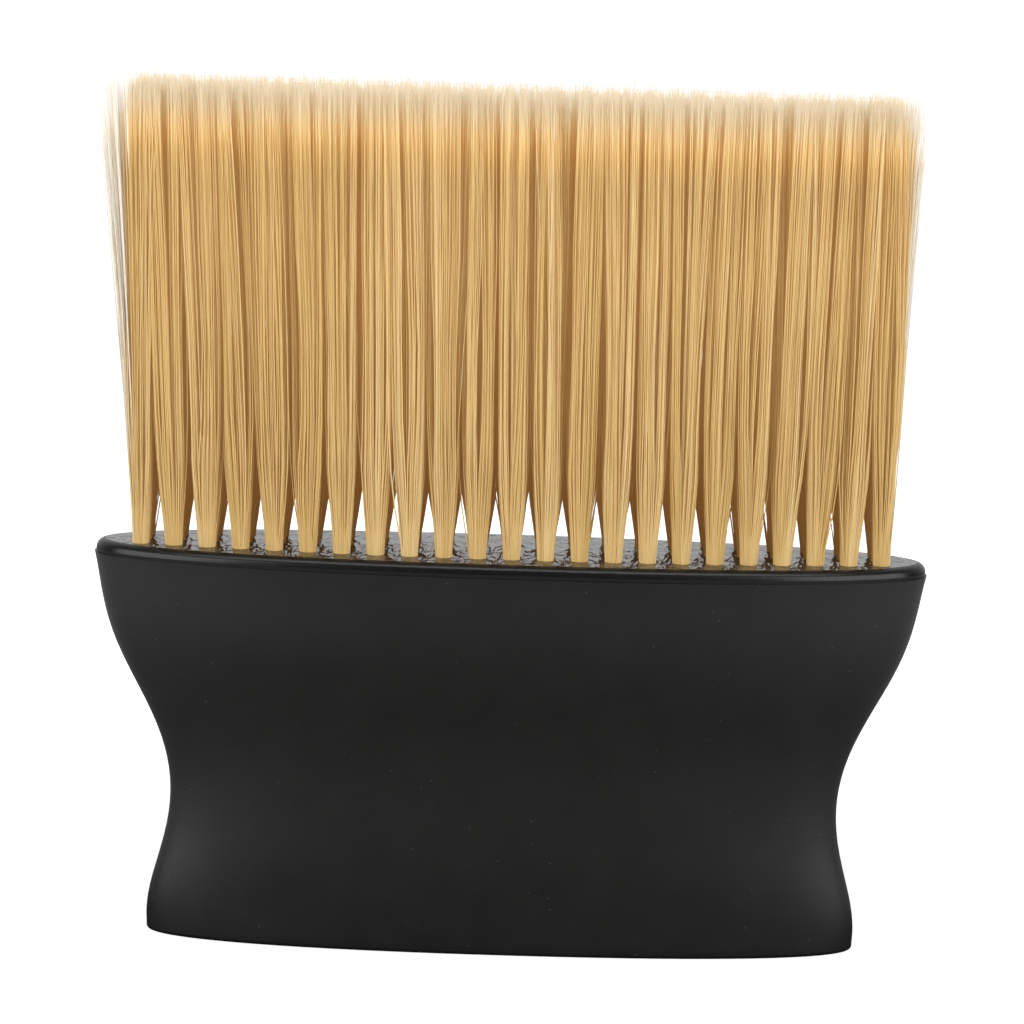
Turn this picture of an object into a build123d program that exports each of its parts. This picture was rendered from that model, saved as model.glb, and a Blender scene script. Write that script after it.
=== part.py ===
from build123d import *
import os

# Neck duster brush, in millimetres.
# +Z is up, with the bristles on top. X runs along the width, and the front is -Y.
# The origin is the middle of the flat base that the brush stands on.

# ---- Handle ----
WALL = 1.8                      # moulded wall of the handle sleeve
FIT = 0.1                       # gap between the sleeve and what is pushed into it
CAP_FLANGE = 1.6                # part of the bottom cap that shows below the sleeve
CAP_SPIGOT = 5.0                # part of the cap that is pushed up into the sleeve
CAP_SPIGOT_GAP = 0.8            # inside the sleeve's wall at the seam, because the sleeve narrows upwards
CAP_RIM_WALL = 1.6              # wall of the cap's hollow spigot
CAP_EDGE_RADIUS = 0.8           # rounded edge of the base
SLEEVE_TOP = 66.6               # height of the sleeve's upper rim
PLATE_FOOT = 59.2               # height of the lowest face of the tuft plate
FULLNESS = 0.64                 # roundness of every oval: 0.55 is an ellipse, and 1 is a rectangle

# Outer outline of the sleeve at each height: half width and half depth.
# The handle is wide at the rim, waisted in the lower half, and a little wider again at the base.
SLEEVE_SECTIONS = (
    (CAP_FLANGE, 61.0, 9.1),
    (12.0, 59.4, 8.9),
    (27.0, 57.1, 8.8),
    (39.0, 60.4, 9.8),
    (50.0, 65.8, 11.7),
    (PLATE_FOOT, 68.6, 13.1),
    (SLEEVE_TOP, 69.9, 14.2),
)

# ---- Tuft plate ----
LIP_HEIGHT = 2.1                # part of the plate that stands above the sleeve
LIP_INSET = 0.3                 # step back from the sleeve's outline
LIP_RADIUS = 1.5                # rounded upper edge of the lip
PLATE_TOP = SLEEVE_TOP + LIP_HEIGHT
HOLE_RADIUS = 1.45
HOLE_DEPTH = 7.0

# ---- Tufts ----
COLUMNS = 23                    # tufts along the width
COLUMN_PITCH = 5.61
ROW_OFFSET_MIDDLE = 7.4         # front and back rows from the middle row, at the middle of the plate
ROW_OFFSET_END = 3.3            # the same at the last column, where the plate narrows
TIP_HEIGHT = 144.0
TIP_SPREAD = 1.03               # tips stand this much further apart along the width than their holes
TIP_ROW_OFFSET_MIDDLE = 7.4     # the rows' offset at the tips
TIP_ROW_OFFSET_END = 5.4
TUFT_RADIUS = 1.4               # bundle of filaments where it leaves its hole
TIP_RADIUS = 2.65
FOLD_GAP = 0.05                 # below the fold of the filaments

# ---- Anchors: flat wire across each hole, which holds the folded filaments down ----
ANCHOR_LENGTH = 3.5             # longer than the hole is wide, so both ends bite into the plate
ANCHOR_THICKNESS = 0.35
ANCHOR_HEIGHT = 1.7
ANCHOR_FLOOR_GAP = 0.5          # room under the anchor for the fold

HOLE_FLOOR = PLATE_TOP - HOLE_DEPTH
LAST_COLUMN_X = COLUMN_PITCH * (COLUMNS - 1) / 2


def oval(height, half_width, half_depth):
    """Face with a smooth oval outline."""
    a, b = half_width, half_depth
    ka, kb = FULLNESS * a, FULLNESS * b
    outline = Wire([
        Bezier((a, 0), (a, kb), (ka, b), (0, b)),
        Bezier((0, b), (-ka, b), (-a, kb), (-a, 0)),
        Bezier((-a, 0), (-a, -kb), (-ka, -b), (0, -b)),
        Bezier((0, -b), (ka, -b), (a, -kb), (a, 0)),
    ])
    return Pos(0, 0, height) * Face(outline)


def inset_oval(section, inset):
    """The outline of a sleeve section, stepped inwards."""
    height, half_width, half_depth = section
    return oval(height, half_width - inset, half_depth - inset)


def tuft_places():
    """For each column, the (x, y) of its three holes and of its three tips, front row first."""
    places = []
    for column in range(COLUMNS):
        x = (column - (COLUMNS - 1) / 2) * COLUMN_PITCH
        bow = 1 - (x / LAST_COLUMN_X) ** 2
        offset = ROW_OFFSET_END + (ROW_OFFSET_MIDDLE - ROW_OFFSET_END) * bow
        tip_offset = TIP_ROW_OFFSET_END + (TIP_ROW_OFFSET_MIDDLE - TIP_ROW_OFFSET_END) * bow
        places.append([
            ((x, row * offset), (x * TIP_SPREAD, row * tip_offset))
            for row in (-1, 0, 1)
        ])
    return places


def anchor(x, y):
    """Flat wire that lies across one hole, just above its floor."""
    wire = Box(ANCHOR_LENGTH, ANCHOR_THICKNESS, ANCHOR_HEIGHT, align=(Align.CENTER, Align.CENTER, Align.MIN))
    return Pos(x, y, HOLE_FLOOR + ANCHOR_FLOOR_GAP) * wire


def tuft(hole, tip):
    """One bundle: folded round its anchor, straight in the hole, and flared above the plate."""
    root_floor = HOLE_FLOOR + FOLD_GAP
    root = Pos(*hole, root_floor) * extrude(Circle(TUFT_RADIUS), PLATE_TOP - root_floor)
    flare = loft(
        [Pos(*hole, PLATE_TOP) * Circle(TUFT_RADIUS), Pos(*tip, TIP_HEIGHT) * Circle(TIP_RADIUS)],
        ruled=True,
    )
    return root + flare - anchor(*hole)


def handle_sleeve():
    """Waisted tube, open at both ends."""
    outer = loft([oval(*section) for section in SLEEVE_SECTIONS])
    inner = loft([inset_oval(section, WALL) for section in SLEEVE_SECTIONS])
    return outer - inner


def bottom_cap():
    """Base plate with a rounded edge and a hollow spigot that plugs the sleeve."""
    base = SLEEVE_SECTIONS[0]
    flange = extrude(inset_oval(base, 0), -CAP_FLANGE)
    flange = fillet(flange.edges().group_by(Axis.Z)[0], CAP_EDGE_RADIUS)
    grip = WALL + CAP_SPIGOT_GAP
    spigot = extrude(inset_oval(base, grip), CAP_SPIGOT)
    hollow = extrude(inset_oval(base, grip + CAP_RIM_WALL), CAP_SPIGOT)
    return flange + (spigot - hollow)


def tuft_plate(holes):
    """Solid plate with a rounded lip on the sleeve's rim and a blind hole for each tuft."""
    foot, rim = SLEEVE_SECTIONS[-2:]
    lip = extrude(inset_oval(rim, LIP_INSET), LIP_HEIGHT)
    lip = fillet(lip.edges().group_by(Axis.Z)[-1], LIP_RADIUS)
    skirt = loft([inset_oval(section, WALL + FIT) for section in (foot, rim)], ruled=True)
    drill = extrude(Circle(HOLE_RADIUS), HOLE_DEPTH)
    bores = [Pos(x, y, HOLE_FLOOR) * drill for x, y in holes]
    slots = [anchor(x, y) for x, y in holes]
    return lip + skirt - bores - slots


def write(name, shape):
    """Write one node."""
    export_step(shape, f"parts/{name}.step")


os.makedirs("parts", exist_ok=True)
columns = tuft_places()
write("handle_sleeve", handle_sleeve())
write("bottom_cap", bottom_cap())
write("tuft_plate", tuft_plate([hole for column in columns for hole, tip in column]))
for number, column in enumerate(columns, start=1):
    write(f"tuft_column_{number:02d}", Compound([tuft(hole, tip).solid() for hole, tip in column]))
    write(f"anchor_column_{number:02d}", Compound([anchor(*hole).solid() for hole, tip in column]))
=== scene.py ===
import logging
import math
from abc import ABC, abstractmethod
from dataclasses import dataclass
from enum import Enum, IntEnum
from typing import Any

import bmesh
import bpy
import numpy as np
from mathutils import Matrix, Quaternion, Vector


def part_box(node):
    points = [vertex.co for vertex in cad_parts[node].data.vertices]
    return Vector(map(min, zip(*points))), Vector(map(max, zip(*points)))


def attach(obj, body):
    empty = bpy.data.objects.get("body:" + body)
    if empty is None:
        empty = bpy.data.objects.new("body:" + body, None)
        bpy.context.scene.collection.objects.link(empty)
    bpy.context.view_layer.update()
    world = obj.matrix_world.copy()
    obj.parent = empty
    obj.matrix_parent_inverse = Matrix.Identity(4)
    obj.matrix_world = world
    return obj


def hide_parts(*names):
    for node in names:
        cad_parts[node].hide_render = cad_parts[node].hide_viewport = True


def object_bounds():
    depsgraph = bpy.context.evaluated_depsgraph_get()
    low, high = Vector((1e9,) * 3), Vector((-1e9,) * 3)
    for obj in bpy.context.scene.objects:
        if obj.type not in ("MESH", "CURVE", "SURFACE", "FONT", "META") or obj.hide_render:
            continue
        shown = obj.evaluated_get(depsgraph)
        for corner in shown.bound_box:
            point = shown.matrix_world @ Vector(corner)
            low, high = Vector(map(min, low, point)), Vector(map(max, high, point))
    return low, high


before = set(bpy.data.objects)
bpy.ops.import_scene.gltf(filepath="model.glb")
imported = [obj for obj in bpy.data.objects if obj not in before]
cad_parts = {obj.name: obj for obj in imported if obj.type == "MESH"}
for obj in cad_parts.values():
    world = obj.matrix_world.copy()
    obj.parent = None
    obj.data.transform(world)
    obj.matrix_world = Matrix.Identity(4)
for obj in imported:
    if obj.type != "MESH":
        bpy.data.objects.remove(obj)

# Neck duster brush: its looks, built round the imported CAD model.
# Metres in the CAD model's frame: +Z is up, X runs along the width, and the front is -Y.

MM = 0.001
CAD_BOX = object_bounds()
SHADE = "shade"                 # attribute of the bristles' points: a dye up to 1, and above that a painted paleness for light let through
NOISE_RANGE = (0.3, 0.7)        # holds nearly all the values of a noise texture
GOLDEN_TURN = 0.6180339887      # share of a turn that spreads points evenly
WHITE = "FFFFFF"
log = logging.getLogger("neck_duster")

Colour = tuple[float, float, float, float]


class Slot(Enum):
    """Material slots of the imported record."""

    BRISTLE = "bristle"


class Row(IntEnum):
    """Rows of tufts, and the side of the middle that each is on."""

    FRONT = -1
    MIDDLE = 0
    BACK = 1


class End(IntEnum):
    """Ends of the plate, and the side of the middle that each is on."""

    LEFT = -1
    NEITHER = 0
    RIGHT = 1


def srgb(code: str) -> Colour:
    """Turn an sRGB colour into the linear one that shaders read.

    Args:
        code: Six hexadecimal digits.

    Returns:
        Linear red, green, blue and an alpha of 1.
    """
    def linear(digits: str) -> float:
        """One channel, from its two digits."""
        value = int(digits, 16) / 255
        return value / 12.92 if value <= 0.04045 else ((value + 0.055) / 1.055) ** 2.4

    return linear(code[0:2]), linear(code[2:4]), linear(code[4:6]), 1.0


def fill_inputs(tree: bpy.types.NodeTree, node: bpy.types.Node, inputs: dict[str | int, Any]) -> None:
    """Give a node's inputs their values and links.

    Args:
        tree: Node tree that the node is in.
        node: Node to fill.
        inputs: For each input, by name or number, a value or the socket it is linked from.
    """
    for name, value in inputs.items():
        socket = node.inputs[name]
        if isinstance(value, bpy.types.NodeSocket):
            tree.links.new(value, socket)
        else:
            socket.default_value = value


def add_node(tree: bpy.types.NodeTree, kind: str, settings: dict[str, Any] | None = None,
             inputs: dict[str | int, Any] | None = None,
             stops: tuple[tuple[float, str], ...] = ()) -> bpy.types.Node:
    """Add one node to a tree.

    Args:
        tree: Node tree that gets the node.
        kind: Blender's name for the kind of node.
        settings: Values of the node's own properties.
        inputs: For each input, by name or number, a value or the socket it is linked from.
        stops: Place and sRGB colour of each stop of a colour ramp, from low to high.

    Returns:
        The new node.
    """
    node = tree.nodes.new(kind)
    for name, value in (settings or {}).items():
        setattr(node, name, value)
    fill_inputs(tree, node, inputs or {})
    for number, (place, colour) in enumerate(stops):
        elements = node.color_ramp.elements
        element = elements[number] if number < len(elements) else elements.new(place)
        element.position = place
        element.color = srgb(colour)
    return node


def add_object(name: str, data: bpy.types.ID) -> bpy.types.Object:
    """Put an object into the scene, at the origin.

    Args:
        name: The object's name.
        data: Its mesh, light or camera.

    Returns:
        The object.
    """
    made = bpy.data.objects.new(name, data)
    bpy.context.scene.collection.objects.link(made)
    return made


class Finish(ABC):
    """A material that starts from what the real one is. It has one shader."""

    name: str

    @abstractmethod
    def shading(self, tree: bpy.types.NodeTree, place: bpy.types.NodeSocket) -> dict[str, Any]:
        """Work out the shader's inputs.

        Args:
            tree: Node tree for the patterns.
            place: Socket of each point's place, in metres.

        Returns:
            For each of the shader's inputs, a value or the socket it is linked from.
        """

    def material(self) -> bpy.types.Material:
        """Build the material.

        Returns:
            The material.
        """
        material = bpy.data.materials.new(self.name)
        material.use_nodes = True
        tree = material.node_tree
        place = add_node(tree, "ShaderNodeTexCoord").outputs["Object"]
        fill_inputs(tree, tree.nodes["Principled BSDF"], self.shading(tree, place))
        return material

    def dress(self, *nodes: str) -> None:
        """Put the material on CAD nodes, all over.

        Args:
            nodes: Names of the nodes.
        """
        material = self.material()
        for node in nodes:
            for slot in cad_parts[node].material_slots:
                slot.material = material


@dataclass(frozen=True)
class MouldedAbs(Finish):
    """Black ABS from a spark-eroded mould: an even satin skin with a fine grain and a little dust.

    The grain breaks reflections up, so the front of the handle stays dark and soft all over.
    """

    name: str = "moulded_abs_satin"
    dark: str = "111110"
    light: str = "141413"
    dust: str = "5E5C58"
    roughness: tuple[float, float] = (0.36, 0.40)
    specular: float = 0.5
    ior: float = 1.52
    flow: float = 9.0 * MM                          # width of the marks left by the plastic's flow
    grain: float = 0.35 * MM                        # width of the eroded grain
    grain_strength: float = 0.35
    grain_depth: float = 0.03 * MM
    speck: float = 1.7 * MM                         # distance between the places where dust may lie
    speck_edge: tuple[float, float] = (0.03, 0.075)     # where a speck fades out, as a share of that
    speck_floor: float = 0.72                       # only the places that draw more than this get dust

    def shading(self, tree: bpy.types.NodeTree, place: bpy.types.NodeSocket) -> dict[str, Any]:
        """Work out the shader's inputs: faint flow marks, dust and grain.

        Args:
            tree: Node tree for the patterns.
            place: Socket of each point's place, in metres.

        Returns:
            For each of the shader's inputs, a value or the socket it is linked from.
        """
        flow = add_node(tree, "ShaderNodeTexNoise", None,
                        {"Vector": place, "Scale": 1 / self.flow, "Detail": 4.0, "Roughness": 0.6})
        grain = add_node(tree, "ShaderNodeTexNoise", None,
                         {"Vector": place, "Scale": 1 / self.grain, "Detail": 2.0})
        low, high = NOISE_RANGE
        body = add_node(tree, "ShaderNodeValToRGB", None, {"Fac": flow.outputs["Fac"]},
                        ((low, self.dark), (high, self.light)))
        specks = add_node(tree, "ShaderNodeTexVoronoi", {"feature": "F1"},
                          {"Vector": place, "Scale": 1 / self.speck, "Randomness": 1.0})
        near = add_node(tree, "ShaderNodeMapRange", {"interpolation_type": "SMOOTHSTEP"},
                        {"Value": specks.outputs["Distance"], "From Min": self.speck_edge[0],
                         "From Max": self.speck_edge[1], "To Min": 1.0, "To Max": 0.0})
        chosen = add_node(tree, "ShaderNodeMath", {"operation": "GREATER_THAN"},
                          {0: specks.outputs["Color"], 1: self.speck_floor})
        dusty = add_node(tree, "ShaderNodeMath", {"operation": "MULTIPLY"},
                         {0: near.outputs["Result"], 1: chosen.outputs["Value"]})
        colour = add_node(tree, "ShaderNodeMix", {"data_type": "RGBA"},
                          {"Factor": dusty.outputs["Value"], "A": body.outputs["Color"],
                           "B": srgb(self.dust)})
        gloss = add_node(tree, "ShaderNodeMapRange", None,
                         {"Value": flow.outputs["Fac"], "From Min": low, "From Max": high,
                          "To Min": self.roughness[0], "To Max": self.roughness[1]})
        relief = add_node(tree, "ShaderNodeBump", None,
                          {"Height": grain.outputs["Fac"], "Strength": self.grain_strength,
                           "Distance": self.grain_depth})
        return {
            "Base Color": colour.outputs["Result"],
            "Roughness": gloss.outputs["Result"],
            "Normal": relief.outputs["Normal"],
            "IOR": self.ior,
            "Specular IOR Level": self.specular,
        }


@dataclass(frozen=True)
class PolishedPolystyrene(Finish):
    """Black polystyrene from a polished mould: glossy, with shallow sink marks round the holes.

    The sink marks bend what the plate reflects into short waves between the tufts. The lip has none.
    """

    top: float                                      # height of the plate's flat top
    name: str = "moulded_polystyrene_gloss"
    dark: str = "0B0B0B"
    light: str = "100F0F"
    roughness: tuple[float, float] = (0.22, 0.27)
    specular: tuple[float, float] = (0.22, 1.0)     # on the lip, and on the flat top
    ior: float = 1.59
    flat_edge: tuple[float, float] = (0.03 * MM, 0.005 * MM)    # below the top, where the lip's curve ends
    sink: float = 1.9 * MM                          # width of the sink marks
    sink_stretch: tuple[float, float, float] = (1.5, 0.6, 1.0)
    sink_depth: float = 0.65 * MM
    skin: float = 0.7 * MM                          # width of the orange peel
    skin_range: tuple[float, float] = (0.35, 0.7)
    skin_strength: float = 0.4
    skin_depth: float = 0.05 * MM

    def shading(self, tree: bpy.types.NodeTree, place: bpy.types.NodeSocket) -> dict[str, Any]:
        """Work out the shader's inputs: sink marks and orange peel on the flat top, and a plain lip.

        Args:
            tree: Node tree for the patterns.
            place: Socket of each point's place, in metres.

        Returns:
            For each of the shader's inputs, a value or the socket it is linked from.
        """
        stretched = add_node(tree, "ShaderNodeMapping", {"vector_type": "POINT"},
                             {"Vector": place, "Scale": self.sink_stretch})
        sink = add_node(tree, "ShaderNodeTexNoise", None,
                        {"Vector": stretched.outputs["Vector"], "Scale": 1 / self.sink, "Detail": 1.5,
                         "Roughness": 0.45, "Distortion": 0.4})
        skin = add_node(tree, "ShaderNodeTexNoise", None,
                        {"Vector": place, "Scale": 1 / self.skin, "Detail": 5.0, "Roughness": 0.65})
        height = add_node(tree, "ShaderNodeSeparateXYZ", None, {"Vector": place}).outputs["Z"]
        flat = add_node(tree, "ShaderNodeMapRange", {"interpolation_type": "SMOOTHSTEP"},
                        {"Value": height, "From Min": self.top - self.flat_edge[0],
                         "From Max": self.top - self.flat_edge[1]}).outputs["Result"]
        low, high = self.skin_range
        colour = add_node(tree, "ShaderNodeValToRGB", None, {"Fac": skin.outputs["Fac"]},
                          ((low, self.dark), (high, self.light)))
        gloss = add_node(tree, "ShaderNodeMapRange", None,
                         {"Value": skin.outputs["Fac"], "From Min": low, "From Max": high,
                          "To Min": self.roughness[0], "To Max": self.roughness[1]})
        sunk = add_node(tree, "ShaderNodeMath", {"operation": "MULTIPLY"}, {0: sink.outputs["Fac"], 1: flat})
        waves = add_node(tree, "ShaderNodeBump", None,
                         {"Height": sunk.outputs["Value"], "Strength": 1.0, "Distance": self.sink_depth})
        peel = add_node(tree, "ShaderNodeMath", {"operation": "MULTIPLY"}, {0: skin.outputs["Fac"], 1: flat})
        relief = add_node(tree, "ShaderNodeBump", None,
                          {"Height": peel.outputs["Value"], "Strength": self.skin_strength,
                           "Distance": self.skin_depth, "Normal": waves.outputs["Normal"]})
        shine = add_node(tree, "ShaderNodeMapRange", None,
                         {"Value": flat, "To Min": self.specular[0], "To Max": self.specular[1]})
        return {
            "Base Color": colour.outputs["Color"],
            "Roughness": gloss.outputs["Result"],
            "Specular IOR Level": shine.outputs["Result"],
            "Normal": relief.outputs["Normal"],
            "IOR": self.ior,
        }


@dataclass(frozen=True)
class SpunFilament(Finish):
    """PBT filament, spun fine and tapered to a point: tan, with a silky sheen along each strand.

    No two strands take the dye alike. A painted glow, an emission, stands in for the light that the strands
    pass on to each other, so the gaps between them are warm brown. The thin tips and the loosest strands
    are painted cream, for the light that they let through.
    """

    name: str = "spun_pbt_filament"
    dyes: tuple[tuple[float, str], ...] = ((0.15, "C7A969"), (0.6, "D1B377"), (1.0, "D9BF89"))
    # Painted light: the upper colour is a brighter tan painted on the top of the field, and the tip colour a
    # paler cream painted on the thin tips, for the light that falls on them and passes through them; the
    # pale colour is painted on loose strands for the light they let through
    painted_upper: str = "F1D08A"
    tip: str = "D6C9B0"
    painted_pale: str = "F2F1ED"
    roughness: tuple[float, float] = (0.40, 0.56)
    specular: float = 0.25
    ior: float = 1.5
    fleck: float = 5.0 * MM                         # length of the flecks in the dye
    fleck_share: float = 0.30
    painted_upper_edge: tuple[float, float] = (129.0 * MM, 142.0 * MM)      # heights over which the painted lighter top and the painted paler tips take over
    painted_tip_edge: tuple[float, float] = (134.0 * MM, 144.0 * MM)
    painted_pale_edge: tuple[float, float] = (1.0, 2.0)    # values of the shade over which a strand turns to the painted pale
    # Painted glow: an emission by height, dim on loose strands, that stands in for the light the strands
    # pass on
    glow: tuple[tuple[float, str], ...] = ((0.0, "856239"), (0.75, "B9945F"))   # painted glow by height, for the light the strands pass on
    painted_glow_loose: str = "202020"
    painted_glow_from: float = 72.0 * MM
    painted_glow_strength: float = 0.26

    def shading(self, tree: bpy.types.NodeTree, place: bpy.types.NodeSocket) -> dict[str, Any]:
        """Work out the shader's inputs: dye by strand, painted paleness by height and on loose strands,
        and a painted glow.

        Args:
            tree: Node tree for the patterns.
            place: Socket of each point's place, in metres.

        Returns:
            For each of the shader's inputs, a value or the socket it is linked from.
        """
        strand = add_node(tree, "ShaderNodeAttribute", {"attribute_name": SHADE}).outputs["Fac"]
        height = add_node(tree, "ShaderNodeSeparateXYZ", None, {"Vector": place}).outputs["Z"]
        fleck = add_node(tree, "ShaderNodeTexNoise", None,
                         {"Vector": place, "Scale": 1 / self.fleck, "Detail": 2.0})
        mixed = add_node(tree, "ShaderNodeMath", {"operation": "MULTIPLY_ADD", "use_clamp": True},
                         {0: fleck.outputs["Fac"], 1: self.fleck_share, 2: strand})
        dye = add_node(tree, "ShaderNodeValToRGB", None, {"Fac": mixed.outputs["Value"]}, self.dyes)
        colour = dye.outputs["Color"]
        # Painted light: a brighter tan on the top of the field, then a paler cream on the thin tips
        for (low, high), target in ((self.painted_upper_edge, self.painted_upper), (self.painted_tip_edge, self.tip)):
            painted_rise = add_node(tree, "ShaderNodeMapRange", {"interpolation_type": "SMOOTHSTEP"},
                             {"Value": height, "From Min": low, "From Max": high})
            colour = add_node(tree, "ShaderNodeMix", {"data_type": "RGBA"},
                              {"Factor": painted_rise.outputs["Result"], "A": colour,
                               "B": srgb(target)}).outputs["Result"]
        # Painted paleness on loose strands, for the light they let through
        loose = add_node(tree, "ShaderNodeMapRange", None,
                         {"Value": strand, "From Min": self.painted_pale_edge[0],
                          "From Max": self.painted_pale_edge[1]}).outputs["Result"]
        painted_pale_colour = add_node(tree, "ShaderNodeMix", {"data_type": "RGBA"},
                         {"Factor": loose, "A": colour, "B": srgb(self.painted_pale)})
        gloss = add_node(tree, "ShaderNodeMapRange", None,
                         {"Value": strand, "To Min": self.roughness[0], "To Max": self.roughness[1]})
        # Painted glow: warm brown low in the field and tan higher up, dim on loose strands
        depth = add_node(tree, "ShaderNodeMapRange", None,
                         {"Value": height, "From Min": self.painted_glow_from, "From Max": self.painted_tip_edge[0]})
        painted_glow_by_height = add_node(tree, "ShaderNodeValToRGB", None, {"Fac": depth.outputs["Result"]}, self.glow)
        painted_glow_colour = add_node(tree, "ShaderNodeMix", {"data_type": "RGBA"},
                             {"Factor": loose, "A": painted_glow_by_height.outputs["Color"], "B": srgb(self.painted_glow_loose)})
        return {
            "Base Color": painted_pale_colour.outputs["Result"],
            "Roughness": gloss.outputs["Result"],
            "Emission Color": painted_glow_colour.outputs["Result"],
            "IOR": self.ior,
            "Specular IOR Level": self.specular,
            "Emission Strength": self.painted_glow_strength,
        }


@dataclass(frozen=True)
class DrawnBrass(Finish):
    """Brass flat wire, drawn through a die: fine lines run along it."""

    name: str = "drawn_brass_wire"
    dark: str = "A8823F"
    light: str = "D9B56A"
    roughness: float = 0.32
    line: float = 0.12 * MM                         # width of the drawing lines
    line_stretch: tuple[float, float, float] = (0.06, 1.0, 1.0)
    line_strength: float = 0.4
    line_depth: float = 0.02 * MM

    def shading(self, tree: bpy.types.NodeTree, place: bpy.types.NodeSocket) -> dict[str, Any]:
        """Work out the shader's inputs: lines along the wire, in colour and in relief.

        Args:
            tree: Node tree for the patterns.
            place: Socket of each point's place, in metres.

        Returns:
            For each of the shader's inputs, a value or the socket it is linked from.
        """
        along = add_node(tree, "ShaderNodeMapping", {"vector_type": "POINT"},
                         {"Vector": place, "Scale": self.line_stretch})
        lines = add_node(tree, "ShaderNodeTexNoise", None,
                         {"Vector": along.outputs["Vector"], "Scale": 1 / self.line, "Detail": 3.0})
        low, high = NOISE_RANGE
        colour = add_node(tree, "ShaderNodeValToRGB", None, {"Fac": lines.outputs["Fac"]},
                          ((low, self.dark), (high, self.light)))
        relief = add_node(tree, "ShaderNodeBump", None,
                          {"Height": lines.outputs["Fac"], "Strength": self.line_strength,
                           "Distance": self.line_depth})
        return {
            "Base Color": colour.outputs["Color"],
            "Normal": relief.outputs["Normal"],
            "Metallic": 1.0,
            "Roughness": self.roughness,
        }


@dataclass(frozen=True)
class FloorPaper(Finish):
    """Matt white paper, overexposed. A painted shade makes it dim close to the brush, so the foot of the
    handle stays dark.
    """

    name: str = "floor_paper_painted_shade"
    # Painted shade: the near colour is a dim grey painted round the brush, and the far colour is the paper
    # further out
    near: str = "464646"
    far: str = "B2B2B2"
    shade: tuple[float, float] = (75.0 * MM, 190.0 * MM)    # distances from the brush of the two colours of the painted shade
    roughness: float = 0.9
    glow: float = 0.95                                      # seen by the camera only

    def shading(self, tree: bpy.types.NodeTree, place: bpy.types.NodeSocket) -> dict[str, Any]:
        """Work out the shader's inputs: a round patch of painted shade, and a glow that lights nothing.

        Args:
            tree: Node tree for the patterns.
            place: Socket of each point's place, in metres.

        Returns:
            For each of the shader's inputs, a value or the socket it is linked from.
        """
        distance = add_node(tree, "ShaderNodeVectorMath", {"operation": "LENGTH"}, {0: place})
        out_of_painted_shade = add_node(tree, "ShaderNodeMapRange", None,
                       {"Value": distance.outputs["Value"], "From Min": self.shade[0],
                        "From Max": self.shade[1]})
        # Painted shade: dim grey near the brush, paler further out
        paper_with_painted_shade = add_node(tree, "ShaderNodeValToRGB", None, {"Fac": out_of_painted_shade.outputs["Result"]},
                         ((0.0, self.near), (1.0, self.far)))
        seen = add_node(tree, "ShaderNodeLightPath").outputs["Is Camera Ray"]
        glow = add_node(tree, "ShaderNodeMath", {"operation": "MULTIPLY"}, {0: seen, 1: self.glow})
        return {
            "Base Color": paper_with_painted_shade.outputs["Color"],
            "Roughness": self.roughness,
            "Specular IOR Level": 0.0,
            "Emission Color": srgb(WHITE),
            "Emission Strength": glow.outputs["Value"],
        }


@dataclass(frozen=True)
class Handle:
    """Waisted sleeve and the cap that closes its foot."""

    sleeve: MouldedAbs = MouldedAbs()
    cap: MouldedAbs = MouldedAbs(name="moulded_abs_cap", dark="0F0F0E", light="121211")

    def dress(self) -> None:
        """Give both mouldings their finish."""
        self.sleeve.dress("handle_sleeve")
        self.cap.dress("bottom_cap")
        log.info("handle: sleeve and cap dressed")


@dataclass(frozen=True)
class TuftPlate:
    """Plate that holds the tufts, and the flat wires pressed into its holes."""

    columns: int
    wire: DrawnBrass = DrawnBrass()

    def dress(self) -> None:
        """Give the plate and every anchor their finish."""
        PolishedPolystyrene(top=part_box("tuft_plate")[1].z).dress("tuft_plate")
        self.wire.dress(*(f"anchor_column_{number:02d}" for number in range(1, self.columns + 1)))
        log.info("plate and %d columns of anchors dressed", self.columns)


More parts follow.
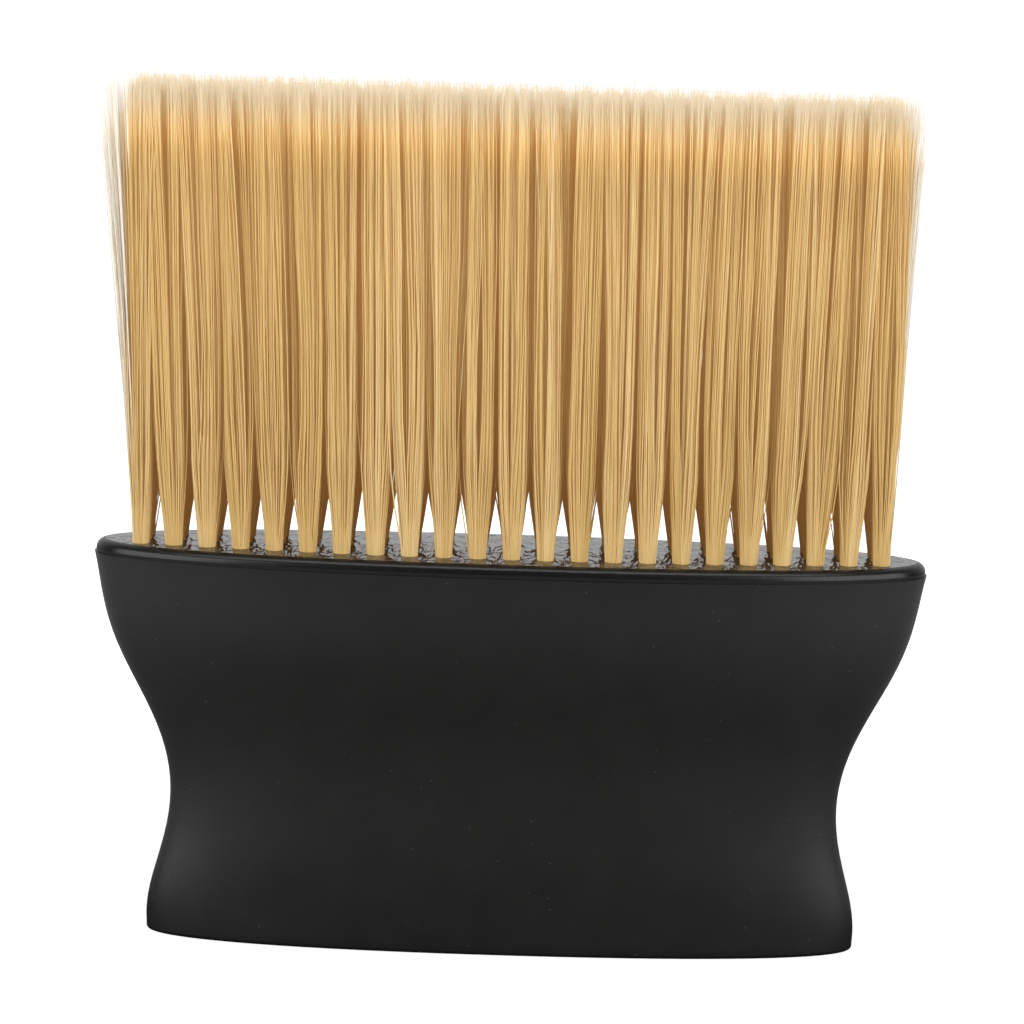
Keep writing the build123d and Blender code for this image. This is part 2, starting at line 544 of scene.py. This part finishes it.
@dataclass(frozen=True)
class Strands:
    """How folded filaments leave one tuft's hole and spread into the field.

    Each filament is folded under the anchor, so it has two limbs that stand side by side in the hole.
    A limb opens out to its own place in a square cell, and is drawn towards the middle of its clump.
    Most stand in the tuft, and some are loose round it. A few go astray, and at the ends of the plate
    some fan out. A step is a height above the plate as a share of the limb's length, from 0 to 1.
    """

    # A real filament is about half as thick. These are as coarse as they need to be to show.
    filaments: int = 160
    radius: float = 0.098 * MM
    radius_spread: float = 0.12
    steps: tuple[float, ...] = (0.0, 0.05, 0.11, 0.19, 0.30, 0.46, 0.66, 0.87, 1.0)
    taper: tuple[float, ...] = (1.22, 1.20, 1.14, 1.06, 1.0, 0.95, 0.86, 0.70, 0.16)    # at each step

    # In the hole
    hole_radius: float = 1.34 * MM
    anchor_gap: float = 0.27 * MM                   # from the middle of the hole to the nearest limb
    fold_gap: float = 0.7                           # share of that gap at the fold

    # Opening out above the plate
    flare_height: float = 13.0 * MM
    flare_power: float = 1.5
    cell: tuple[float, float] = (2.95 * MM, 3.6 * MM)       # half the cell's size at the tips
    cell_roundness: float = 0.35
    scatter: float = 0.31 * MM

    # Loose limbs, which open sooner and further
    loose_height: float = 9.0 * MM
    loose_power: float = 1.3
    loose_share: tuple[float, float, float] = (0.01, 0.17, 0.22)    # in the front, middle and back rows
    loose_reach: float = 1.25

    # Clumps, which limbs are drawn to in the lower part and again towards the tips
    clumps: int = 11
    clump_reach: float = 0.85
    clump_wander: float = 0.5 * MM
    clump_drift: float = 0.75 * MM
    drift_end: float = 0.3                          # share of the drift along the width at the plate's ends
    drift_depth: float = 0.6                        # share of the drift from front to back
    drift_power: float = 1.5
    pull: float = 0.34
    pull_turns: float = 1.6
    pull_until: float = 0.5
    pull_tip: float = 0.36
    pull_tip_from: float = 0.2
    pull_tip_over: float = 0.3

    # The whole tuft leans a little to the left, and each limb waves
    lean: float = 1.35 * MM
    lean_power: float = 1.2
    wave: float = 0.14 * MM
    wave_turns: tuple[float, float] = (0.5, 1.2)
    wave_growth: float = 3.0

    # Strays
    stray_share: float = 0.005
    stray_reach: float = 3.0 * MM
    stray_limit: float = 2.0                        # furthest that a stray goes, in reaches
    stray_inward: float = 50.0 * MM                 # beyond this place along the width, they lean inwards

    # Ends of the plate: the outer limbs are held back, and some fan out. Pairs are for left and right
    end_hold: float = 0.05
    end_pull: tuple[float, float] = (4.0 * MM, 2.8 * MM)
    end_pull_power: float = 0.7
    end_power: float = 1.5
    fan_share: float = 0.30
    fan_reach: tuple[float, float] = (4.0 * MM, 2.7 * MM)
    fan_least: float = 0.2

    # Tips
    rise: float = 0.65 * MM
    trim: float = 0.66 * MM
    short_share: float = 0.16
    short_by: float = 2.6 * MM

    # Shades: dye tones, and the painted paleness of limbs that stand apart
    clump_tone: tuple[float, float] = (0.5, 0.22)   # middle and spread
    limb_tone: float = 0.07
    stray_painted_pale: float = 1.2
    fan_painted_pale: tuple[float, float] = (1.4, 2.0)
    painted_paling: float = 2.5                             # a loose limb has all its painted paleness at one over this

    def opened(self, height: np.ndarray, loose: np.ndarray) -> np.ndarray:
        """Work out how far limbs have opened out.

        Args:
            height: Height of a point of each limb above the plate.
            loose: Which limbs are loose.

        Returns:
            Share of the way from the hole to each limb's own place.
        """
        tight = 1 - np.exp(-(height / self.flare_height) ** self.flare_power)
        wide = 1 - np.exp(-(height / self.loose_height) ** self.loose_power)
        return np.where(loose, wide, tight)

    def drawn(self, step: float) -> float:
        """Work out how strongly limbs are drawn to their clump.

        Args:
            step: Height as a share of the limb's length.

        Returns:
            Share of the way to the middle of the clump.
        """
        low = self.pull * math.sin(math.pi * step * self.pull_turns) ** 2 if step < self.pull_until else 0.0
        return low + self.pull_tip * max(0.0, min(1.0, (step - self.pull_tip_from) / self.pull_tip_over))


@dataclass(frozen=True)
class Courses:
    """Courses of many strands: their points, and the radius and shade at each point."""

    lines: np.ndarray
    radii: np.ndarray
    shades: np.ndarray

    def turned(self) -> "Courses":
        """The same courses, run from their other end."""
        return Courses(self.lines[:, ::-1], self.radii[:, ::-1], self.shades[:, ::-1])

    @staticmethod
    def joined(parts: list["Courses"], end_to_end: bool) -> "Courses":
        """Make one set of courses from several.

        Args:
            parts: Sets to join.
            end_to_end: Whether each strand carries on from the last set, or new strands are added.

        Returns:
            The whole set.
        """
        axis = 1 if end_to_end else 0
        return Courses(np.concatenate([part.lines for part in parts], axis),
                       np.concatenate([part.radii for part in parts], axis),
                       np.concatenate([part.shades for part in parts], axis))


@dataclass(frozen=True)
class Spread:
    """Where limbs end up, measured from the middle of their tuft's tips, and which stand apart."""

    away: np.ndarray
    scatter: np.ndarray
    inward: np.ndarray
    loose: np.ndarray
    stray: np.ndarray
    fan: np.ndarray


@dataclass(frozen=True)
class Clumping:
    """The clump of each limb: its middle, how it sways, and the limb's shade in it."""

    middle: np.ndarray
    wander: np.ndarray
    drift: np.ndarray
    shade: np.ndarray


@dataclass(frozen=True)
class Tuft:
    """One tuft of folded filaments."""

    rng: np.random.Generator                        # source of its variation
    strands: Strands
    hole: np.ndarray                                # X and Y of its hole
    tip: np.ndarray                                 # X and Y of the middle of its tips
    fold: float                                     # height of the folds, under the anchor
    row: Row
    end: End

    def filaments(self) -> Courses:
        """Work out the course of each filament.

        Returns:
            Courses from one tip down through the fold to the other tip.
        """
        s = self.strands
        # Even places in the half disc in front of the anchor, and the same ones mirrored behind it.
        index = np.arange(s.filaments)
        reach = np.sqrt((index + 0.5) / s.filaments)
        turn = math.pi * np.modf(index * GOLDEN_TURN + self.rng.random())[0]
        places = np.column_stack([reach * np.cos(turn), reach * np.sin(turn)])
        sides = []
        for side in (-1, 1):
            limbs = self.limbs(places * [1, side])
            bottom = limbs.lines[:, :1].copy()
            bottom[:, 0, 1] = self.hole[1] + side * s.anchor_gap * s.fold_gap
            bottom[:, 0, 2] = self.fold
            fold = Courses(bottom, limbs.radii[:, :1], limbs.shades[:, :1])
            sides.append(Courses.joined([fold, limbs], end_to_end=True))
        front, back = sides
        return Courses.joined([front.turned(), back], end_to_end=True)

    def spread(self, unit: np.ndarray, square: np.ndarray) -> Spread:
        """Choose each limb's place among the tips, and the limbs that stand apart.

        Args:
            unit: Each limb's place in the hole, from -1 to 1 both ways.
            square: The same places, stretched to fill a square.

        Returns:
            The places and the limbs that stand apart.
        """
        s, rng, count = self.strands, self.rng, len(unit)
        away = (s.cell_roundness * unit + (1 - s.cell_roundness) * square) * s.cell
        scatter = rng.normal(0, s.scatter, (count, 2))
        stray = rng.random(count) < s.stray_share
        limit = s.stray_limit * s.stray_reach
        astray = np.clip(rng.normal(0, s.stray_reach, (count, 2)), -limit, limit)
        if abs(self.hole[0]) > s.stray_inward:
            astray[:, 0] = -math.copysign(1, self.hole[0]) * np.abs(astray[:, 0])
        away += np.where(stray[:, None], astray, 0)
        loose = rng.random(count) < s.loose_share[self.row + 1]
        away = np.where(loose[:, None], away * s.loose_reach, away)
        fan = np.zeros(count, bool)
        inward = np.zeros(count)
        if self.end:
            pair = (self.end + 1) // 2
            outward = self.end * away[:, 0] > 0
            away[outward, 0] *= s.end_hold
            inward = self.end * s.end_pull[pair] * rng.uniform(0.0, 1.0, count) ** s.end_pull_power
            fan = outward & (rng.random(count) < s.fan_share)
            away[fan, 0] += self.end * s.fan_reach[pair] * rng.uniform(s.fan_least, 1.0, fan.sum())
            inward[fan] = 0
        return Spread(away, scatter, inward, loose, stray, fan)

    def clumping(self, square: np.ndarray) -> Clumping:
        """Gather limbs into clumps, each with its own tone.

        Args:
            square: Each limb's place in the cell, from -1 to 1 both ways.

        Returns:
            The clump of each limb.
        """
        s, rng = self.strands, self.rng
        centres = rng.uniform(-s.clump_reach, s.clump_reach, (s.clumps, 2))
        member = np.argmin(np.linalg.norm(square[:, None] - centres[None], axis=2), axis=1)
        wander = rng.normal(0, s.clump_wander, (s.clumps, 2))
        share = [s.drift_end if self.end else 1.0, s.drift_depth]
        drift = rng.normal(0, s.clump_drift, (s.clumps, 2)) * share
        tones = rng.normal(*s.clump_tone, s.clumps)
        shade = np.clip(tones[member] + rng.normal(0, s.limb_tone, len(square)), 0, 1)
        return Clumping(centres[member] * s.cell, wander[member], drift[member], shade)

    def shades(self, spread: Spread, shade: np.ndarray) -> np.ndarray:
        """Work out the shade at each point. Limbs that stand apart get a painted paleness, for the light
        they let through, once they leave the tuft.

        Args:
            spread: The limbs that stand apart.
            shade: Each limb's shade in its clump.

        Returns:
            The shades, by limb and step.
        """
        s = self.strands
        fan = self.rng.uniform(*s.fan_painted_pale, len(shade))
        # Painted paleness, for the light that strays and fanned limbs let through
        painted_paleness = np.where(spread.stray, s.stray_painted_pale, np.where(spread.fan, fan, shade)) - shade
        return shade[:, None] + painted_paleness[:, None] * np.minimum(1.0, s.painted_paling * np.array(s.steps))

    def lengths(self, free: float, fan: np.ndarray) -> np.ndarray:
        """Trim the limbs. Some are left short, but not those that fan out.

        Args:
            free: Height of the field above the plate.
            fan: Which limbs fan out.

        Returns:
            Length of each limb above the plate.
        """
        s, rng, count = self.strands, self.rng, len(fan)
        length = free + s.rise + rng.normal(0, s.trim, count)
        short = rng.random(count) < s.short_share
        return length - np.where(short & ~fan, np.abs(rng.normal(0, s.short_by, count)), 0)

    def limbs(self, unit: np.ndarray) -> Courses:
        """Work out one limb of each filament.

        Args:
            unit: Each limb's place in the hole, from -1 to 1 both ways.

        Returns:
            Courses from the hole to the tip.
        """
        s, rng, count = self.strands, self.rng, len(unit)
        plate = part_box("tuft_plate")[1].z
        # A disc stretched to fill a square cell, so that the field has no holes between tufts.
        square = unit * (np.linalg.norm(unit, axis=1) / np.abs(unit).max(1))[:, None]
        start = unit * s.hole_radius
        start[:, 1] += np.sign(unit[:, 1]) * s.anchor_gap * (1 - np.abs(unit[:, 1]))
        spread = self.spread(unit, square)
        clump = self.clumping(square)
        shades = self.shades(spread, clump.shade)
        length = self.lengths(CAD_BOX[1].z - plate, spread.fan)
        phase = rng.uniform(0, 2 * math.pi, (count, 2))
        turns = rng.uniform(*s.wave_turns, (count, 1))
        apart = (spread.stray | spread.fan)[:, None]
        points = []
        for step in s.steps:
            height = step * length
            opened = np.where(apart, step, s.opened(height, spread.loose)[:, None])
            trunk = self.hole + (self.tip - self.hole) * step
            own = trunk + start + (spread.away - start + spread.scatter * opened) * opened
            middle = (trunk + clump.middle * opened + start * (1 - opened)
                      + clump.wander * math.sin(math.pi * step))
            where = own + (middle - own) * np.where(apart | spread.loose[:, None], 0.0, s.drawn(step))
            where = where + np.where(apart, 0.0, clump.drift * step ** s.drift_power)
            wave = s.wave * min(1.0, step * s.wave_growth)
            where = where + wave * np.sin(2 * math.pi * turns * step + phase)
            where[:, 0] -= s.lean * step ** s.lean_power + spread.inward * step ** s.end_power
            points.append(np.column_stack([where, plate + height]))
        radius = s.radius * (1 + rng.uniform(-s.radius_spread, s.radius_spread, count))
        return Courses(np.stack(points, axis=1), radius[:, None] * np.array(s.taper), shades)


@dataclass(frozen=True)
class BristleField:
    """All the tufts: one piece for each column of three."""

    columns: int
    strands: Strands = Strands()
    finish: SpunFilament = SpunFilament()
    tip_spread: float = 1.019                       # tips stand this much further apart than their holes
    tip_row_end: float = 5.0 * MM                   # from the middle row's tips to the outer rows'
    tip_row_middle: float = 7.2 * MM
    fold_room: float = 0.3 * MM                     # under the anchor
    anchor_thickness: float = 0.35 * MM
    seed: int = 4107
    sides: int = 4                                  # of the thin tube that each filament is

    def build(self) -> None:
        """Build every column and give it the filament's finish."""
        material = self.finish.material()
        for number in range(1, self.columns + 1):
            piece = self.column(number, material)
            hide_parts(f"tuft_column_{number:02d}")
            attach(piece, "root")
            log.info("%s: %d faces", piece.name, len(piece.data.polygons))

    def hole_x(self, number: int) -> float:
        """Place of a column along the width, from its anchors."""
        low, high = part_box(f"anchor_column_{number:02d}")
        return (low.x + high.x) / 2

    def column(self, number: int, material: bpy.types.Material) -> bpy.types.Object:
        """Build the three tufts of one column.

        Args:
            number: The column's number, from 1 at the left end.
            material: Finish of the filaments.

        Returns:
            The piece, in place.
        """
        rng = np.random.default_rng(self.seed + number)
        low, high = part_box(f"anchor_column_{number:02d}")
        x = self.hole_x(number)
        offset = high.y - self.anchor_thickness / 2
        bow = 1 - (x / self.hole_x(self.columns)) ** 2
        tip_offset = self.tip_row_end + (self.tip_row_middle - self.tip_row_end) * bow
        end = {1: End.LEFT, self.columns: End.RIGHT}.get(number, End.NEITHER)
        tufts = [
            Tuft(rng, self.strands, np.array([x, row * offset]),
                 np.array([x * self.tip_spread, row * tip_offset]), low.z - self.fold_room, row, end)
            for row in Row
        ]
        courses = Courses.joined([tuft.filaments() for tuft in tufts], end_to_end=False)
        mesh = self.tubes(f"bristles_{number:02d}", courses)
        mesh.materials.clear()
        mesh.materials.append(material)
        return add_object(f"bristles_{number:02d}", mesh)

    def tubes(self, name: str, courses: Courses) -> bpy.types.Mesh:
        """Turn courses into thin closed tubes.

        Args:
            name: Name of the mesh.
            courses: Courses of the filaments.

        Returns:
            The mesh.
        """
        curve = bpy.data.curves.new(name, "CURVE")
        curve.dimensions = "3D"
        curve.bevel_depth = 1.0
        curve.bevel_resolution = 0
        rings = courses.lines.shape[1]
        for points, radius in zip(courses.lines, courses.radii):
            spline = curve.splines.new("POLY")
            spline.points.add(rings - 1)
            spline.points.foreach_set("co", np.column_stack([points, np.ones(rings)]).ravel())
            spline.points.foreach_set("radius", radius)
            spline.use_smooth = True
        guide = bpy.data.objects.new(name, curve)
        mesh = bpy.data.meshes.new_from_object(guide)
        bpy.data.objects.remove(guide)
        bpy.data.curves.remove(curve)
        shade = mesh.attributes.new(SHADE, "FLOAT", "POINT")
        shade.data.foreach_set("value", np.repeat(courses.shades.ravel(), self.sides).astype(np.float32))
        while mesh.uv_layers:
            mesh.uv_layers.remove(mesh.uv_layers[0])
        shape = bmesh.new()
        shape.from_mesh(mesh)
        rims = [edge for edge in shape.edges if edge.is_boundary]
        bmesh.ops.holes_fill(shape, edges=rims, sides=self.sides)
        bmesh.ops.recalc_face_normals(shape, faces=shape.faces)
        shape.to_mesh(mesh)
        shape.free()
        return mesh


@dataclass(frozen=True)
class Softbox:
    """One soft white studio light, aimed at the middle of the brush."""

    name: str
    place: tuple[float, float, float]
    size: tuple[float, float]
    power: float

    def build(self, aim: Vector) -> None:
        """Hang the light.

        Args:
            aim: Point that it shines at.
        """
        data = bpy.data.lights.new(self.name, "AREA")
        data.shape = "RECTANGLE"
        data.size, data.size_y = self.size
        data.energy = self.power
        light = add_object(self.name, data)
        light.location = self.place
        light.rotation_mode = "QUATERNION"
        light.rotation_quaternion = (aim - Vector(self.place)).to_track_quat("-Z", "Y")
        log.info("%s hung", self.name)


@dataclass(frozen=True)
class Studio:
    """Camera, pale floor, white surroundings and soft lights."""

    aim: tuple[float, float, float] = (-0.11 * MM, 0.0, 75.1 * MM)
    distance: float = 420.0 * MM
    elevation: float = 11.0                         # degrees, as are the next two
    yaw: float = -0.23
    roll: float = 1.83
    lens: float = 88.2
    sensor: float = 36.0
    clip: tuple[float, float] = (0.01, 50.0)
    floor: FloorPaper = FloorPaper()
    floor_radius: float = 6.0
    floor_drop: float = 0.05 * MM                   # below the base, so that the two don't coincide
    floor_sides: int = 96
    room: tuple[float, float] = (0.12, 0.98)        # brightness in front of the brush, and behind it
    room_edge: tuple[float, float] = (-0.3, 0.6)    # Y of the directions between which it changes
    backdrop: float = 1.05                          # brightness that the camera sees
    boxes: tuple[Softbox, ...] = (
        Softbox("softbox_top", (0.0, -0.45, 1.15), (1.2, 0.5), 6.2),
        Softbox("softbox_left", (-0.95, -0.85, 0.5), (1.1, 1.0), 13.4),
        Softbox("softbox_right", (0.95, -0.85, 0.5), (1.1, 1.0), 13.0),
    )

    def set_camera(self) -> None:
        """Make the camera, which looks at the front from a little above."""
        turn, rise = math.radians(self.yaw), math.radians(self.elevation)
        back = Vector((math.sin(turn) * math.cos(rise), -math.cos(turn) * math.cos(rise), math.sin(rise)))
        data = bpy.data.cameras.new("camera")
        data.sensor_width = self.sensor
        data.lens = self.lens
        data.clip_start, data.clip_end = self.clip
        camera = add_object("camera", data)
        camera.location = Vector(self.aim) + back * self.distance
        camera.rotation_mode = "QUATERNION"
        level = (-back).to_track_quat("-Z", "Y")
        camera.rotation_quaternion = level @ Quaternion((0, 0, 1), math.radians(self.roll))
        bpy.context.scene.camera = camera

    def lay_floor(self) -> None:
        """Lay a round pale floor."""
        shape = bmesh.new()
        bmesh.ops.create_circle(shape, cap_ends=True, segments=self.floor_sides, radius=self.floor_radius)
        bmesh.ops.translate(shape, verts=shape.verts, vec=(0, 0, -self.floor_drop))
        mesh = bpy.data.meshes.new("floor")
        shape.to_mesh(mesh)
        shape.free()
        floor = add_object("floor", mesh)
        mesh.materials.append(self.floor.material())

    def set_surroundings(self) -> None:
        """White all round for the camera, and a room that is white behind the brush and dim in front."""
        world = bpy.data.worlds.new("room")
        bpy.context.scene.world = world
        world.use_nodes = True
        tree = world.node_tree
        tree.nodes.clear()
        direction = add_node(tree, "ShaderNodeTexCoord").outputs["Generated"]
        depth = add_node(tree, "ShaderNodeSeparateXYZ", None, {"Vector": direction}).outputs["Y"]
        level = add_node(tree, "ShaderNodeMapRange", {"interpolation_type": "SMOOTHSTEP"},
                         {"Value": depth, "From Min": self.room_edge[0], "From Max": self.room_edge[1],
                          "To Min": self.room[0], "To Max": self.room[1]})
        seen = add_node(tree, "ShaderNodeLightPath").outputs["Is Camera Ray"]
        room, white = (
            add_node(tree, "ShaderNodeBackground", None, {"Color": srgb(WHITE), "Strength": strength})
            for strength in (level.outputs["Result"], self.backdrop)
        )
        mixed = add_node(tree, "ShaderNodeMixShader", None,
                         {0: seen, 1: room.outputs["Background"], 2: white.outputs["Background"]})
        add_node(tree, "ShaderNodeOutputWorld", None, {"Surface": mixed.outputs["Shader"]})

    def build(self) -> None:
        """Set the floor, the surroundings and the lights."""
        bpy.context.scene.view_settings.view_transform = "Standard"
        self.lay_floor()
        self.set_surroundings()
        for box in self.boxes:
            box.build(Vector(self.aim))


def main() -> None:
    """Build the whole brush, in order."""
    logging.basicConfig(level=logging.INFO, format="%(message)s")
    studio = Studio()
    studio.set_camera()
    columns = sum(name.startswith("anchor_column_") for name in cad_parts)
    Handle().dress()
    TuftPlate(columns).dress()
    BristleField(columns).build()
    studio.build()


if __name__ == "__main__":
    main()
